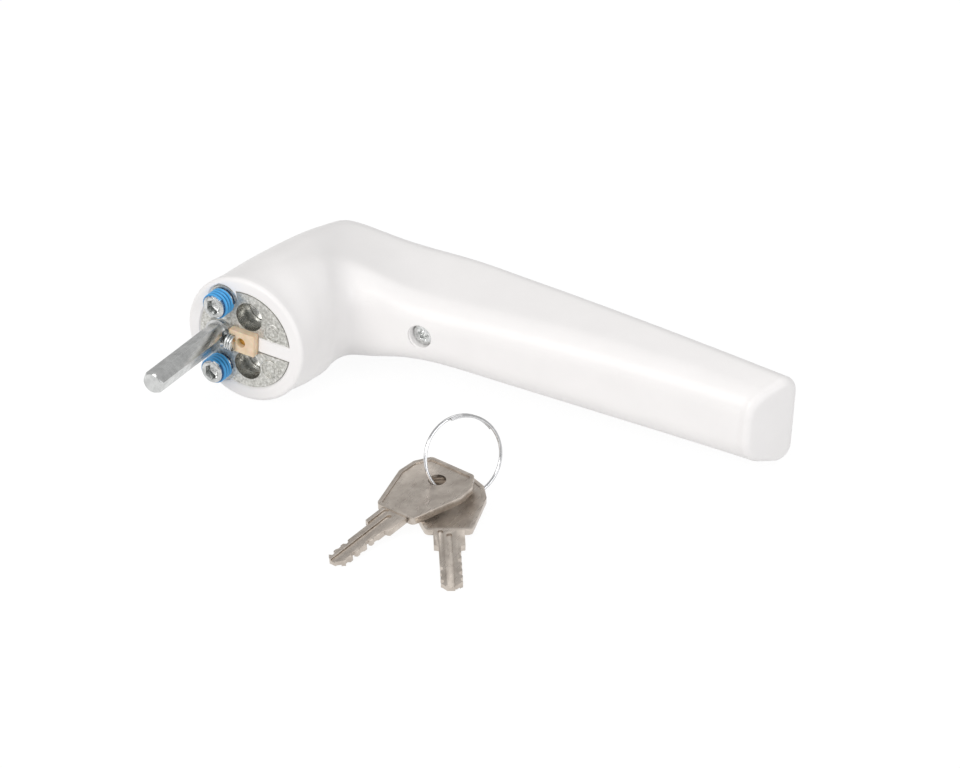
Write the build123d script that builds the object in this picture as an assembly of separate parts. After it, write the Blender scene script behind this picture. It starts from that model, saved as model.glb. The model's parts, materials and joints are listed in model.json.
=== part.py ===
import os
from math import asin, atan2, cos, degrees, hypot, pi, radians, sin, sqrt, tan

from build123d import *

# Locking window handle, laid on a table with its two keys on a split ring beside it.
# Millimetres. The origin is on the spindle axis in the mounting plane of the handle's base.
# The spindle points to -Y, the lever to +X, and +Z is up from the table.
# Handle parts are drawn with the lever level and are then tilted about the spindle axis
# until the base rim and the lever end both touch the table.

# Outer form of the handle
base_radius = 19.5
neck_offset = 8.3
neck_inner_height = 22.0
neck_outer_height = 55.0
neck_inner_draft = 1.1
neck_outer_draft = 12.7
neck_top_half = 16.4
neck_top_round = 13.6
lever_face_height = 60.6
lever_root_height = 32.0
lever_root = 51.0
lever_reach = 149.8
lever_end_lean = 8.3
lever_face_drop = 5.6
lever_back_rise = 7.1
lever_root_half = 14.5
lever_end_half = 15.2
lever_back_half = 10.0
lever_back_swell = 1.1
lever_edge_round = 5.0
lever_back_round = 8.6
end_round = 2.0
lever_sections = 8

# White shell over the cast core
shell_wall = 3.2
fit_gap = 0.12
rim_width = 4.5
plate_depth = 8.5
plate_recess = 0.15
web_width = 4.8
core_reach = 66.0
split_height = 18.0

# Spindle
spindle_across = 6.0
spindle_projection = 34.6
spindle_turn = -14.0
spindle_chamfer = 0.7
collar_radius = 4.2
collar_proud = 1.2
collar_depth = 14.0

# Threaded stop screws
stop_radius = 4.0
stop_rim = 1.83
stop_angle = 125.0
stop_projection = 5.3
stop_depth = 8.0
stop_foot_radius = 3.85
stop_foot_proud = 0.25
stop_socket = 4.0
stop_socket_depth = 2.5
lobe_wall = 0.6

# Cap screws that join the two castings
core_screw_radius = 2.5
core_screw_head_radius = 4.25
core_screw_head_height = 5.0
core_screw_seat = 12.0
core_screw_offset = 1.3
core_screw_spread = 7.95
core_screw_thread = 8.0
core_screw_socket = 4.0

# Lock pin, its guide and its return spring
pin_radius = 1.4
pin_recess = 0.5
pin_stroke = 5.5
pin_collar_radius = 3.2
pin_collar_height = 1.5
pin_collar_place = 23.0
guide_width = 8.4
guide_height = 6.7
guide_shift = 0.2
guide_proud = 2.0
guide_depth = 8.0
spring_wire = 0.3
spring_radius = 2.5
spring_turns = 6
chamber_radius = 3.6
chamber_floor = 9.5

# Clamp screw against the spindle
clamp_radius = 2.25
clamp_start = -4.9
clamp_length = 2.9
clamp_height = -2.0
clamp_drop = -0.5

# Screw in the back of the lever
body_screw_place = 40.0
body_screw_head_radius = 3.1
body_screw_head_height = 2.0
body_screw_sink = 2.2
body_screw_radius = 2.0
body_screw_length = 13.0
body_boss_wall = 1.5
body_boss_depth = 1.9
body_screw_room = 0.7
drive_radius = 1.25

# Lock cylinder
lock_offset = 7.0
lock_radius = 8.5
lock_length = 22.1
lock_flange_radius = 9.6
lock_flange_depth = 9.6
lock_flange_height = 3.0
plug_radius = 5.5
plug_head_radius = 6.6
plug_head_height = 1.2
plug_tail_radius = 4.0
plug_tail_flat = 3.0
keyway_gap = 0.2
keyway_overrun = 0.7
wafer_count = 5
wafer_pitch = 3.0
wafer_thickness = 1.0
wafer_width = 7.0
wafer_first = 4.0
running_gap = 0.06

# Cam on the plug's tail
cam_radius = 8.6
cam_inner_radius = 5.2
cam_plate_height = 2.1
cam_low = 0.8
cam_turn = 90.0
cam_dwell = 14.0
clip_radius = 6.4
clip_bore = 3.5
clip_thickness = 0.8
tail_overrun = 1.0
cavity_gap = 0.4
cavity_depth = 10.5

# Keys and ring
key_length = 52.0
key_thickness = 1.8
key_bow_length = 25.7
key_bow_half = 11.0
key_bow_root_half = 6.4
key_bow_end_half = 7.5
key_bow_round = 1.8
key_neck_length = 7.5
key_neck_half = 4.3
key_rim = 1.3
key_rim_depth = 0.25
key_hole_radius = 2.5
key_hole_inset = 7.1
blade_half = 3.0
blade_tip_half = 1.6
blade_cut = 0.9
blade_groove = 1.2
blade_groove_depth = 0.4
key_1_place = (82.75, -16.7)
key_1_turn = 81.9
key_1_lift = 4.9
key_2_place = (85.8, -16.75)
key_2_turn = 123.0
key_2_lift = 1.95
ring_wire = 0.5
ring_radius = 11.95
ring_turns = 1.2
ring_pitch = 1.42
ring_start = 30.0
ring_place = (86.4, -9.15)
ring_height = 11.37
ring_heading = -31.9
ring_lean = 20.05


# Derived places
lever_end_inner = lever_reach - lever_end_lean
plate_radius = base_radius - rim_width
stop_circle = base_radius - stop_rim - lobe_wall - stop_radius
stop_offset = stop_circle * cos(radians(stop_angle))
stop_spread = stop_circle * sin(radians(stop_angle))
plug_nose = lever_face_height
lock_x = neck_offset + lock_offset
lock_bottom = plug_nose - lock_length
lock_flange_bottom = plug_nose - lock_flange_depth
cavity_floor = lock_bottom - cavity_depth
blade_length = key_length - key_bow_length - key_neck_length
keyway_width = key_thickness + 2 * keyway_gap
keyway_height = 2 * (blade_half + keyway_gap)
keyway_depth = blade_length + keyway_overrun
flange_top = lock_flange_bottom + lock_flange_height
guide_left = guide_shift - guide_width / 2
guide_right = guide_shift + guide_width / 2
cam_plate_top = lock_bottom - clip_thickness - 5 * running_gap
cam_plate_bottom = cam_plate_top - cam_plate_height
cam_rise = pin_stroke / radians(cam_turn)
dome_gap = 0.35
pin_top = cam_plate_bottom - cam_low - dome_gap
body_screw_face = lever_root_height + (body_screw_place - lever_root) * 0.12
body_screw_seat = body_screw_face + body_screw_sink + body_screw_head_height
contact_span = lever_reach - lever_end_lean / 2
rest_tilt = degrees(asin((base_radius - lever_end_half) / contact_span))
floor_height = -(neck_offset * sin(radians(rest_tilt)) + base_radius)
boss_radius = body_screw_head_radius + body_screw_room + body_boss_wall
boss_top = body_screw_seat + body_boss_depth
pin_face = pin_recess - guide_proud + 1.0
tail_end = cam_plate_bottom - tail_overrun
cap_share = 1 - end_round / (lever_reach - lever_root)


# Cylinder parallel to Y, from one height above the base plane to another.
def along_y(x, z, low, high, radius):
    return Pos(x, (low + high) / 2, z) * Rot(90, 0, 0) * Cylinder(radius, high - low)


# Sketch in x and z pulled along Y between two heights.
def prism(sketch, low, high):
    plane = Plane(origin=(0, high, 0), x_dir=(1, 0, 0), z_dir=(0, -1, 0))
    return extrude(plane * sketch, high - low)


def slab(low, high):
    return Pos(lever_reach / 2, (low + high) / 2, 0) * Box(3 * lever_reach, high - low, 6 * base_radius)


# Height of the user's face and of the window side of the lever, at a distance from the neck axis.
def lever_face(place):
    share = place / lever_reach
    return lever_face_height - lever_face_drop * share * share


def lever_back(place):
    share = (place - lever_root) / (lever_end_inner - lever_root)
    return lever_root_height + lever_back_rise * share * (1.53 - 0.53 * share)


# A station of the loft: inner and outer point, half heights at both and corner rounds at both.
def neck_station(share):
    inner = (base_radius - neck_inner_draft * share, neck_inner_height * share)
    outer = (-base_radius + neck_outer_draft * share ** 1.15, neck_outer_height * share)
    half = base_radius - (base_radius - neck_top_half) * share ** 4
    rounding = base_radius - (base_radius - neck_top_round) * share
    return inner, outer, half, half, rounding - share, rounding


def lever_station(share):
    inner_place = lever_root + (lever_end_inner - lever_root) * share
    outer_root = lever_root - lever_edge_round - lever_edge_round * 0.84
    outer_place = outer_root + (lever_reach - outer_root) * share
    half_in = lever_back_half + 4 * lever_back_swell * share * (1 - share)
    half_out = lever_root_half + (lever_end_half - lever_root_half) * share
    inner = (inner_place, lever_back(inner_place))
    outer = (outer_place, lever_face(outer_place))
    return inner, outer, half_in, half_out, min(lever_back_round, half_in - 0.8), lever_edge_round


def blend(start, end, share):
    return start + (end - start) * share


# Between the neck and the lever the sections turn through the elbow. Each row holds the share of the
# way from the neck's top to the lever's root, for: inner place, inner height, outer place,
# half height inside and outside, round inside and outside.
elbow_shares = [
    (0.04, 0.36, 0.045, 0.16, 0.53, 0.52, 0.19),
    (0.17, 0.60, 0.16, 0.34, 0.84, 1.0, 0.38),
    (0.48, 0.76, 0.47, 0.80, 1.0, 1.0, 0.59),
]


def elbow_station(shares):
    top = neck_station(1.0)
    root = lever_station(0.0)
    inner_place = blend(top[0][0], root[0][0], shares[0])
    inner_height = blend(top[0][1], root[0][1], shares[1])
    outer_place = blend(top[1][0], root[1][0], shares[2])
    outer_height = lever_face(outer_place)
    if shares is elbow_shares[0]:
        outer_height = blend(top[1][1], lever_face_height, 0.75)
    half_in = blend(top[2], root[2], shares[3])
    half_out = blend(top[3], root[3], shares[4])
    round_in = blend(top[4], root[4], shares[5])
    round_out = blend(top[5], root[5], shares[6])
    return (inner_place, inner_height), (outer_place, outer_height), half_in, half_out, round_in, round_out


# Maps a point of a section, along its middle line and across it, into space.
def section_point(station, run, height):
    inner, outer = station[0], station[1]
    length = hypot(outer[0] - inner[0], outer[1] - inner[1])
    place = inner[0] + (outer[0] - inner[0]) * run / length
    depth = inner[1] + (outer[1] - inner[1]) * run / length
    return Vector(neck_offset + place, depth, height)


# Round section in eight arcs, so that it lofts edge by edge into the rounded sections.
def round_section(station, inset):
    inner, outer = station[0], station[1]
    middle = hypot(outer[0] - inner[0], outer[1] - inner[1]) / 2
    radius = middle - inset
    flat_angle = 14.0
    bounds = []
    for side in range(4):
        facing = 180.0 - 90.0 * side
        bounds += [facing + flat_angle, facing - flat_angle]
    bounds.append(bounds[0] - 360.0)

    def on_circle(angle):
        turn = radians(angle)
        return section_point(station, middle + radius * cos(turn), radius * sin(turn) * -1.0)

    edges = []
    for first, last in zip(bounds, bounds[1:]):
        points = [on_circle(first), on_circle((first + last) / 2), on_circle(last)]
        edges.append(Edge.make_three_point_arc(*points))
    return Wire(edges)


# Four-sided section with rounded corners, wider on the user's side than on the window side.
def rounded_section(station, inset):
    inner, outer, half_in, half_out, round_in, round_out = station
    length = hypot(outer[0] - inner[0], outer[1] - inner[1])
    start, end = inset, length - inset
    low, high = half_in - inset, half_out - inset
    corners = [(start, low), (start, -low), (end, -high), (end, high)]
    rounds = [round_in, round_in, round_out, round_out]
    tangents = []
    for index, corner in enumerate(corners):
        before = Vector(*corners[index - 1]) - Vector(*corner)
        after = Vector(*corners[(index + 1) % 4]) - Vector(*corner)
        one, two = before.normalized(), after.normalized()
        half_angle = radians(before.get_angle(after)) / 2
        radius = max(rounds[index] - inset, 1.0)
        reach = radius / tan(half_angle)
        centre = Vector(*corner) + (one + two).normalized() * (radius / sin(half_angle))
        middle = centre - (one + two).normalized() * radius
        tangents.append((Vector(*corner) + one * reach, middle, Vector(*corner) + two * reach))
    edges = []
    for index in range(4):
        arc = tangents[(index + 1) % 4]
        points = [section_point(station, point.X, point.Y) for point in (tangents[index][2],) + arc]
        edges.append(Edge.make_line(points[0], points[1]))
        edges.append(Edge.make_three_point_arc(points[1], points[2], points[3]))
    return Wire(edges)


# Outer form for inset 0, or the form that lies inside it by the inset.
def handle_form(inset):
    sections = [round_section(neck_station(share), inset) for share in (0.0, 0.08)]
    sections += [rounded_section(neck_station(share), inset) for share in (0.36, 0.55, 0.78, 1.0)]
    sections += [rounded_section(elbow_station(shares), inset) for shares in elbow_shares]
    for step in range(lever_sections + 1):
        sections.append(rounded_section(lever_station(cap_share * step / lever_sections), inset))
    return Solid.make_loft(sections)


# Rounded end of the lever: the last section moved out along its normal and drawn in on a quarter circle.
def lever_cap():
    station = lever_station(cap_share)
    run = Vector(station[1][0] - station[0][0], station[1][1] - station[0][1]).normalized()
    normal = Vector(run.Y, -run.X)
    sections = []
    for angle in (0.0, 30.0, 60.0, 90.0):
        shift = normal * (end_round * sin(radians(angle)))
        drawn = rounded_section(station, end_round * (1 - cos(radians(angle))))
        sections.append(drawn.moved(Location((shift.X, shift.Y, 0))))
    return Solid.make_loft(sections)


# Space inside the white shell above the plate, as far as the lever is hollow.
def inner_form(inset, low, high, reach):
    ahead = neck_offset + reach
    room = Pos(ahead - lever_reach, (low + high) / 2, 0) * Box(2 * lever_reach, high - low, 6 * base_radius)
    return handle_form(inset) & room


# Outline of the zinc plate: a disc with a lobe round each stop screw and a slot for the shell's web.
def plate_outline(gap):
    outline = Pos(neck_offset, 0) * Circle(plate_radius - gap)
    for side in (-1, 1):
        lobe = Pos(neck_offset + stop_offset, side * stop_spread)
        outline += lobe * Circle(stop_radius + lobe_wall - gap)
    slot_length = plate_radius
    slot = Pos(neck_offset + guide_right + slot_length / 2 - gap, 0)
    return outline - slot * Rectangle(slot_length, web_width + 2 * gap)


def handle_shell():
    outer = handle_form(0) + lever_cap()
    shell = outer - inner_form(shell_wall, plate_depth, 2 * lever_face_height, core_reach)
    shell -= prism(plate_outline(0), -1, plate_depth + fit_gap)
    collar = along_y(lock_x, 0, flange_top + fit_gap, lever_face_height - 1, lock_flange_radius)
    boss = along_y(neck_offset + body_screw_place, 0, body_screw_face + 1, boss_top, boss_radius)
    shell += (collar + boss) & outer
    shell -= along_y(lock_x, 0, flange_top - 1, lever_face_height + 5, lock_radius + fit_gap)
    shell -= screw_hole(body_screw_head_radius + body_screw_room, body_screw_radius + fit_gap)
    return shell


# Stepped hole for the screw in the back of the lever.
def screw_hole(head_radius, shank_radius):
    x = neck_offset + body_screw_place
    hole = along_y(x, 0, 0.5 * lever_root_height, body_screw_seat, head_radius)
    return hole + along_y(x, 0, body_screw_seat - 1, body_screw_seat + body_screw_length, shank_radius)


# Blind bores for the two screws that join the castings, wide below their heads' seat.
def core_screw_bores(low, high, radius):
    x = neck_offset + core_screw_offset
    bores = along_y(x, core_screw_spread, low, high, radius)
    return bores + along_y(x, -core_screw_spread, low, high, radius)


# Lower casting: plate, spindle seat, pin guide pocket and the seats of the cap screws.
def neck_core():
    core = inner_form(shell_wall + fit_gap, plate_depth + fit_gap, split_height, core_reach)
    core += prism(plate_outline(fit_gap), plate_recess, plate_depth + fit_gap)
    core -= core_screw_bores(-1, core_screw_seat, core_screw_head_radius + fit_gap)
    core -= core_screw_bores(0, split_height + 1, core_screw_radius + fit_gap)
    core -= along_y(0, 0, -1, collar_depth + fit_gap, collar_radius + running_gap)
    for side in (-1, 1):
        x = neck_offset + stop_offset
        core -= along_y(x, side * stop_spread, -1, stop_depth + fit_gap, stop_foot_radius + running_gap)
    pocket = Pos(neck_offset + guide_shift, 0) * Rectangle(guide_width + 2 * fit_gap, guide_height + 2 * fit_gap)
    core -= prism(pocket, -1, guide_depth + fit_gap)
    core -= along_y(neck_offset, 0, 0, split_height, pin_radius + fit_gap)
    core -= along_y(neck_offset, 0, chamber_floor, split_height + 1, chamber_radius)
    return core - clamp_channel()


# Channel of the clamp screw, along X from the spindle to the guide.
def clamp_channel():
    start = neck_offset + clamp_start - clamp_radius
    end = neck_offset + clamp_start + clamp_length + fit_gap
    place = Pos((start + end) / 2, clamp_height, clamp_drop)
    return place * Rot(0, 90, 0) * Cylinder(clamp_radius + fit_gap, end - start)


# Upper casting: arm inside the lever, bores for the lock, its cam and the lock pin.
def lever_core():
    core = inner_form(shell_wall + fit_gap, split_height, 2 * lever_face_height, core_reach - fit_gap)
    core -= core_screw_bores(split_height - 1, split_height + core_screw_thread, core_screw_radius + fit_gap)
    core -= along_y(neck_offset, 0, split_height - 1, cavity_floor + 1, chamber_radius)
    core -= along_y(lock_x, 0, cavity_floor, lock_bottom, cam_radius + cavity_gap)
    core -= along_y(lock_x, 0, lock_bottom, 2 * lever_face_height, lock_radius + fit_gap)
    core -= along_y(lock_x, 0, lock_flange_bottom - fit_gap, 2 * lever_face_height, lock_flange_radius + fit_gap)
    core -= screw_hole(boss_radius + fit_gap, body_screw_radius + fit_gap)
    x = neck_offset + body_screw_place
    return core - along_y(x, 0, lever_root_height / 2, boss_top + fit_gap, boss_radius + fit_gap)


# Six-sided bar with a chamfered tip and a round collar sunk in the casting.
def spindle():
    outline = Rot(0, 0, spindle_turn) * RegularPolygon(spindle_across / 2, 6, major_radius=False, rotation=30)
    bar = prism(outline, -spindle_projection, collar_depth)
    corner = spindle_across / sqrt(3)
    tip = Pos(0, -spindle_projection / 2, 0) * Rot(90, 0, 0) * chamfered_rod(corner, spindle_projection)
    bar = (bar & tip) + along_y(0, 0, -collar_proud, collar_depth, collar_radius)
    return bar - clamp_channel()


# Rod along Z with a chamfered upper end.
def chamfered_rod(radius, length):
    rod = Cylinder(radius, length)
    edge = rod.edges().filter_by(GeomType.CIRCLE).sort_by(Axis.Z)[-1]
    return chamfer(edge, spindle_chamfer)


def hex_socket(x, z, low, high, across):
    outline = Pos(x, z) * RegularPolygon(across / 2, 6, major_radius=False)
    return prism(outline, low, high)


# Headless screw with a chamfered outer end, a hexagon socket in it and a slimmer foot in the casting.
def stop_screw(side):
    x = neck_offset + stop_offset
    length = stop_projection - stop_foot_proud
    rod = chamfered_rod(stop_radius, length)
    screw = Pos(x, -(stop_projection + stop_foot_proud) / 2, side * stop_spread) * Rot(90, 0, 0) * rod
    screw += along_y(x, side * stop_spread, -stop_foot_proud, stop_depth, stop_foot_radius)
    socket_floor = stop_socket_depth - stop_projection
    return screw - hex_socket(x, side * stop_spread, -stop_projection - 1, socket_floor, stop_socket)


# Cap screw in its deep bore, threaded into the upper casting.
def core_screw(side):
    x = neck_offset + core_screw_offset
    z = side * core_screw_spread
    head_face = core_screw_seat - core_screw_head_height
    screw = along_y(x, z, head_face, core_screw_seat, core_screw_head_radius)
    screw += along_y(x, z, core_screw_seat, split_height + core_screw_thread - 1, core_screw_radius)
    return screw - hex_socket(x, z, head_face - 1, head_face + core_screw_head_height / 2, core_screw_socket)


# Nylon block that guides the lock pin out of the plate.
def pin_guide():
    outline = Pos(neck_offset + guide_shift, 0) * Rectangle(guide_width, guide_height)
    block = prism(outline, -guide_proud, guide_depth)
    block -= along_y(neck_offset, 0, -guide_proud - 1, guide_depth + 1, pin_radius + running_gap)
    block -= core_screw_bores(-guide_proud - 1, core_screw_seat, core_screw_head_radius + fit_gap)
    block -= along_y(0, 0, -collar_proud - 1, collar_depth, collar_radius + fit_gap)
    return block - clamp_channel()


# Headless screw lying in the channel, with a cup point against a flat of the spindle.
def clamp_screw():
    x = neck_offset + clamp_start + clamp_length / 2
    screw = Pos(x, clamp_height, clamp_drop) * Rot(0, 90, 0) * Cylinder(clamp_radius, clamp_length)
    cup = Pos(neck_offset + clamp_start, clamp_height, clamp_drop) * Rot(0, 90, 0)
    return screw - cup * Cone(clamp_radius * 0.65, 0.2, clamp_length * 0.5)


# Brass rod with a domed top under the cam and a collar for its return spring.
def lock_pin():
    dome_centre = pin_top - pin_radius
    pin = along_y(neck_offset, 0, pin_face, dome_centre, pin_radius)
    pin += Pos(neck_offset, dome_centre, 0) * Sphere(pin_radius)
    low = pin_collar_place
    return pin + along_y(neck_offset, 0, low, low + pin_collar_height, pin_collar_radius)


# Round wire swept along a helix.
def wound_wire(path, wire_radius):
    return sweep(Plane(origin=path @ 0, z_dir=path % 0) * Circle(wire_radius), path=path)


# Least gap between neighbouring turns, measured on points of the wire's middle line.
def least_gap(path, turns, wire_radius):
    steps = 60
    count = round(turns * steps)
    points = [path @ (index / count) for index in range(count + 1)]
    reach = []
    for index, point in enumerate(points):
        reach += [(point - other).length for other in points[index + steps // 2:]]
    return min(reach) - 2 * wire_radius


# Wound spring between the chamber's floor and the pin's collar.
spring_low = chamber_floor + spring_wire + fit_gap
spring_high = pin_collar_place - spring_wire - fit_gap
spring_path = Helix((spring_high - spring_low) / spring_turns, spring_high - spring_low, spring_radius)


def pin_spring():
    return Pos(neck_offset, spring_low, 0) * Rot(-90, 0, 0) * wound_wire(spring_path, spring_wire)


# Screw sunk in the back of the lever, with a six-lobed drive.
def body_screw():
    x = neck_offset + body_screw_place
    face = body_screw_seat - body_screw_head_height
    screw = along_y(x, 0, face, body_screw_seat, body_screw_head_radius)
    head_edge = screw.edges().filter_by(GeomType.CIRCLE).sort_by(Axis.Y)[0]
    screw = fillet(head_edge, 0.5)
    screw += along_y(x, 0, body_screw_seat, body_screw_seat + body_screw_length - 1, body_screw_radius)
    lobes = Sketch() + [Rot(0, 0, 60 * turn) * Pos(drive_radius, 0) * Circle(0.42) for turn in range(6)]
    drive = Pos(x, 0) * (lobes + Circle(drive_radius))
    return screw - prism(drive, face - 1, face + 1.4)


# Barrel of the lock with its flange, plug bore and the seat of the plug's head.
def lock_housing():
    housing = along_y(lock_x, 0, lock_bottom, plug_nose, lock_radius)
    nose_edge = housing.edges().filter_by(GeomType.CIRCLE).sort_by(Axis.Y)[-1]
    housing = chamfer(nose_edge, 0.5)
    housing += along_y(lock_x, 0, lock_flange_bottom, flange_top, lock_flange_radius)
    housing -= along_y(lock_x, 0, lock_bottom - 1, plug_nose, plug_radius + running_gap)
    seat = plug_nose - plug_head_height - fit_gap
    return housing - along_y(lock_x, 0, seat, plug_nose + 1, plug_head_radius + running_gap)


def keyway(low, high, gap):
    outline = Pos(lock_x, 0) * Rectangle(keyway_width - 2 * gap, keyway_height - 2 * gap)
    return prism(outline, low, high)


# Height of each wafer's middle.
def wafer_place(index):
    return plug_nose - wafer_first - wafer_pitch * index


def wafer_block(index, gap):
    thickness = wafer_thickness + 2 * gap
    box = Box(wafer_width + 2 * gap, thickness, 3 * plug_radius)
    return Pos(lock_x, wafer_place(index), 0) * box


# Plug with its head, keyway, wafer slots and a flatted tail that turns the cam.
def key_plug():
    plug = along_y(lock_x, 0, lock_bottom, plug_nose, plug_radius)
    plug += along_y(lock_x, 0, plug_nose - plug_head_height, plug_nose, plug_head_radius)
    tail = along_y(lock_x, 0, tail_end, lock_bottom, plug_tail_radius)
    tail &= prism(Pos(lock_x, 0) * Rectangle(2 * plug_tail_flat, 3 * plug_radius), tail_end, lock_bottom)
    groove_low = lock_bottom - clip_thickness - 3 * running_gap
    groove = along_y(lock_x, 0, groove_low, lock_bottom - running_gap, 2 * plug_radius)
    groove -= along_y(lock_x, 0, groove_low, lock_bottom, clip_bore)
    plug = plug + (tail - groove)
    plug -= keyway(plug_nose - keyway_depth, plug_nose + 1, 0)
    for index in range(wafer_count):
        plug -= wafer_block(index, running_gap)
    return plug


# Flat wafer with a window for the key, drawn level with the plug as when the right key is in.
def wafer(index):
    blank = wafer_block(index, 0)
    blank &= along_y(lock_x, 0, wafer_place(index) - 1, wafer_place(index) + 1, plug_radius - running_gap)
    return blank - keyway(wafer_place(index) - 1, wafer_place(index) + 1, 0)


# Open ring in the tail's groove that keeps the plug from being drawn out.
def plug_clip():
    low = lock_bottom - clip_thickness - 2 * running_gap
    clip = along_y(lock_x, 0, low, low + clip_thickness, clip_radius)
    clip -= along_y(lock_x, 0, low - 1, low + clip_thickness + 1, clip_bore + running_gap)
    mouth = Pos(lock_x, 0) * Pos(clip_radius, 0) * Rectangle(2 * clip_radius, 2 * clip_bore * 0.8)
    return clip - prism(mouth, low - 1, low + clip_thickness + 1)


# Height of the ramp below the cam's plate at an angle round the lock axis.
def ramp_depth(angle):
    return cam_low + cam_rise * radians(angle - 180.0)


# Radial rectangle of the ramp at an angle round the lock axis.
def ramp_section(angle):
    turn = radians(angle)
    inner = Vector(lock_x + cam_inner_radius * cos(turn), 0, cam_inner_radius * sin(turn))
    outer = Vector(lock_x + cam_radius * cos(turn), 0, cam_radius * sin(turn))
    top = Vector(0, cam_plate_bottom + 0.2, 0)
    bottom = Vector(0, cam_plate_bottom - ramp_depth(angle), 0)
    return Wire.make_polygon([inner + top, outer + top, outer + bottom, inner + bottom])


# Face cam: a plate on the plug's tail with a helical ramp that drives the pin as the key turns.
def plug_cam():
    cam = along_y(lock_x, 0, cam_plate_bottom, cam_plate_top, cam_radius)
    first = 180.0 - cam_dwell
    last = 180.0 + cam_turn
    steps = 8
    cam += Solid.make_loft([ramp_section(blend(first, last, step / steps)) for step in range(steps + 1)])
    ring = along_y(lock_x, 0, cam_plate_bottom - ramp_depth(last), cam_plate_bottom + 0.2, cam_radius)
    ring -= along_y(lock_x, 0, cavity_floor, cam_plate_bottom + 1, cam_inner_radius)
    wedge = [(0, 0)]
    for angle in (last, last + cam_dwell):
        wedge.append((2 * cam_radius * cos(radians(angle)), 2 * cam_radius * sin(radians(angle))))
    dwell = Pos(lock_x, 0) * make_face(Polyline(*wedge, close=True))
    cam += ring & prism(dwell, cavity_floor, cam_plate_bottom + 1)
    cam -= tail_hole()
    return cam


def tail_hole():
    hole = along_y(lock_x, 0, tail_end - 1, cam_plate_top + 1, plug_tail_radius + fit_gap)
    flats = Pos(lock_x, 0) * Rectangle(2 * (plug_tail_flat + fit_gap), 3 * plug_radius)
    return hole & prism(flats, tail_end - 1, cam_plate_top + 1)


# Key lying flat along X, tip at the origin: bow with a raised border, neck, and a blade with grooves and cuts.
def key_blank():
    root = key_length - key_bow_length
    wide = root + key_bow_length * 0.6
    corner = key_length - key_bow_length * 0.175
    side = [(root, key_bow_root_half), (wide, key_bow_half), (corner, key_bow_half - 0.5)]
    side.append((key_length, key_bow_end_half))
    mirrored = [(x, -y) for x, y in reversed(side)]
    bow = fillet(make_face(Polyline(*side, *mirrored, close=True)).vertices(), key_bow_round)
    key = Pos(0, 0, -key_thickness / 2) * extrude(bow, key_thickness)
    panel = extrude(offset(bow, -key_rim), key_thickness)
    key -= Pos(0, 0, key_thickness / 2 - key_rim_depth) * panel
    key -= Pos(0, 0, key_rim_depth - 1.5 * key_thickness) * panel
    neck_run = key_neck_length + key_bow_round
    key += Pos(blade_length + neck_run / 2, 0, 0) * Box(neck_run, 2 * key_neck_half, key_thickness)
    key += key_blade()
    return key - Pos(key_length - key_hole_inset, 0, 0) * Cylinder(key_hole_radius, 2 * key_thickness)


# Blade as far as the wafers reach, cut at each wafer's place to its own depth.
def key_blade():
    slope = blade_half - blade_tip_half
    side = [(0, blade_tip_half), (slope, blade_half), (blade_length + 1, blade_half)]
    mirrored = [(x, -y) for x, y in reversed(side)]
    outline = make_face(Polyline(*side, *mirrored, close=True))
    for index in range(wafer_count):
        place = blade_length - wafer_first - wafer_pitch * index
        for edge in (-1, 1):
            depth = blade_cut * (0.6 + 0.4 * ((index + edge) % 3) / 2)
            notch = Pos(place, edge * (blade_half + wafer_thickness / 2)) * Rot(0, 0, 45)
            outline -= notch * Rectangle(depth + wafer_thickness, depth + wafer_thickness)
    blade = Pos(0, 0, -key_thickness / 2) * extrude(outline, key_thickness)
    for face in (-1, 1):
        groove = Pos(blade_length / 2, face * blade_groove * 0.8, face * key_thickness / 2)
        blade -= groove * Box(blade_length, blade_groove, 2 * blade_groove_depth)
    return blade


# A key laid with its tip on the table and its bow's hole lifted: place in plan, heading and lift.
def place_key(shape, place, turn, lift):
    reach = key_length - key_hole_inset
    slope = asin(lift / reach)
    height = floor_height + lift + key_thickness / 2 * cos(slope)
    tilted = Rot(0, 0, turn) * Rot(0, -degrees(slope), 0) * Pos(-reach, 0, 0) * shape
    return Pos(place[0], place[1], height) * tilted


# Split ring: one wire whose ends overlap, leaning on the table with both keys' holes over it.
ring_path = Helix(ring_pitch, ring_pitch * ring_turns, ring_radius - ring_wire)


def key_ring():
    ring = Pos(0, 0, -ring_pitch * ring_turns / 2) * wound_wire(ring_path, ring_wire)
    heading, lean = radians(ring_heading), radians(ring_lean)
    axis = Vector(cos(heading) * cos(lean), sin(heading) * cos(lean), sin(lean))
    level = Vector(-sin(heading), cos(heading), 0)
    start = level * cos(radians(ring_start)) + axis.cross(level) * sin(radians(ring_start))
    centre = (ring_place[0], ring_place[1], floor_height + ring_height)
    return Plane(origin=centre, x_dir=start, z_dir=axis) * ring


handle_parts = {
    "handle_shell": handle_shell(),
    "neck_core": neck_core(),
    "lever_core": lever_core(),
    "spindle": spindle(),
    "spindle_clamp_screw": clamp_screw(),
    "stop_screw_upper": stop_screw(1),
    "stop_screw_lower": stop_screw(-1),
    "core_screw_upper": core_screw(1),
    "core_screw_lower": core_screw(-1),
    "pin_guide": pin_guide(),
    "lock_pin": lock_pin(),
    "pin_spring": pin_spring(),
    "body_screw": body_screw(),
    "lock_housing": lock_housing(),
    "key_plug": key_plug(),
    "plug_clip": plug_clip(),
    "plug_cam": plug_cam(),
}
for index in range(wafer_count):
    handle_parts[f"wafer_{index + 1}"] = wafer(index)

loose_parts = {
    "key_1": place_key(key_blank(), key_1_place, key_1_turn, key_1_lift),
    "key_2": place_key(key_blank(), key_2_place, key_2_turn, key_2_lift),
    "key_ring": key_ring(),
}

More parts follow.
